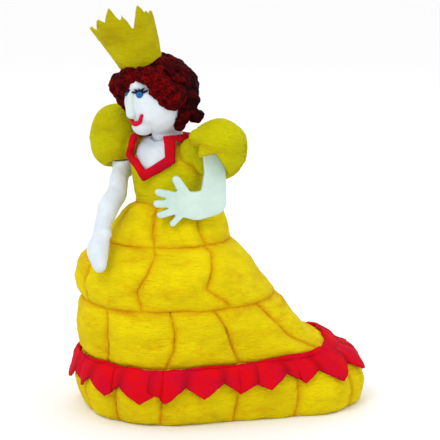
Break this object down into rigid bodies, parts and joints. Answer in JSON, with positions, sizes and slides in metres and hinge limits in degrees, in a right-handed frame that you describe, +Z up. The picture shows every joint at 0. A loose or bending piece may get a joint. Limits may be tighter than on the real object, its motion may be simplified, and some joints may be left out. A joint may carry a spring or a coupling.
{
  "type": "craft stick puppet",
  "caption": "Craft stick puppet of a queen in a puffed yellow foam gown with a long train, red zigzag trim and collar, dark red hair and a tall jagged crown.",
  "frame": {"origin": "where the stick's vertical axis meets the table", "axes": "+Z up along the stick, -Y the way the queen faces, +X towards the left hand of the queen"},
  "size_m": [0.1011, 0.1083, 0.1612],
  "materials": {
    "gown_foam": "matte",
    "crown_foam": "matte",
    "trim_felt": "matte",
    "collar_felt": "matte",
    "white_foam": "matte",
    "white_card": "matte",
    "hair_foam": "satin",
    "brown_card": "matte",
    "birch_wood": "matte",
    "blue_paint": "satin",
    "dark_thread": "matte",
    "red_paint": "satin"
  },
  "bodies": {
    "gown": {"hem_block_01": "gown_foam", "hem_block_02": "gown_foam", "hem_block_03": "gown_foam", "hem_block_04": "gown_foam", "hem_block_05": "gown_foam", "hem_block_06": "gown_foam", "hem_block_07": "gown_foam", "hem_block_08": "gown_foam", "hem_block_09": "gown_foam", "hem_block_10": "gown_foam", "hem_block_11": "gown_foam", "lower_block_01": "gown_foam", "lower_block_02": "gown_foam", "lower_block_03": "gown_foam", "lower_block_04": "gown_foam", "lower_block_05": "gown_foam", "lower_block_06": "gown_foam", "lower_block_07": "gown_foam", "lower_block_08": "gown_foam", "lower_block_09": "gown_foam", "upper_block_01": "gown_foam", "upper_block_02": "gown_foam", "upper_block_03": "gown_foam", "upper_block_04": "gown_foam", "upper_block_05": "gown_foam", "upper_block_06": "gown_foam", "upper_block_07": "gown_foam", "waist_puff_01": "gown_foam", "waist_puff_02": "gown_foam", "waist_puff_03": "gown_foam", "waist_puff_04": "gown_foam", "waist_puff_05": "gown_foam", "trim_strip_1": "trim_felt", "trim_strip_2": "trim_felt", "trim_strip_3": "trim_felt", "trim_strip_4": "trim_felt", "skirt_former": "brown_card", "stick_guide": "brown_card", "bodice": "gown_foam", "chest_inset": "white_foam", "collar": "collar_felt", "left_sleeve": "gown_foam", "right_sleeve": "gown_foam", "left_arm_peg": "birch_wood", "right_arm_peg": "birch_wood"},
    "head": {"craft_stick": "birch_wood", "head": "white_foam", "nose": "white_foam", "eyes": "blue_paint", "eyelashes": "dark_thread", "mouth": "red_paint", "hair_cap": "hair_foam", "fringe_left": "hair_foam", "fringe_right": "hair_foam", "hair_lock": "hair_foam", "crown": "crown_foam"},
    "left_arm": {"left_arm": "white_card"},
    "right_arm": {"right_arm": "white_foam"}
  },
  "joints": [
    {"name": "head_turn", "type": "hinge", "parent": "gown", "child": "head", "pos_m": [0, 0, 0.104], "axis": [0, 0, 1], "range_deg": [-20, 35]},
    {"name": "left_arm_swing", "type": "hinge", "parent": "gown", "child": "left_arm", "pos_m": [0.02388, -0.00091, 0.1065], "axis": [0.829, -0.5592, 0], "range_deg": [-50, 0]},
    {"name": "right_arm_swing", "type": "hinge", "parent": "gown", "child": "right_arm", "pos_m": [-0.0203, -0.0052, 0.094], "axis": [0, 0, 1], "range_deg": [-40, 0]}
  ]
}
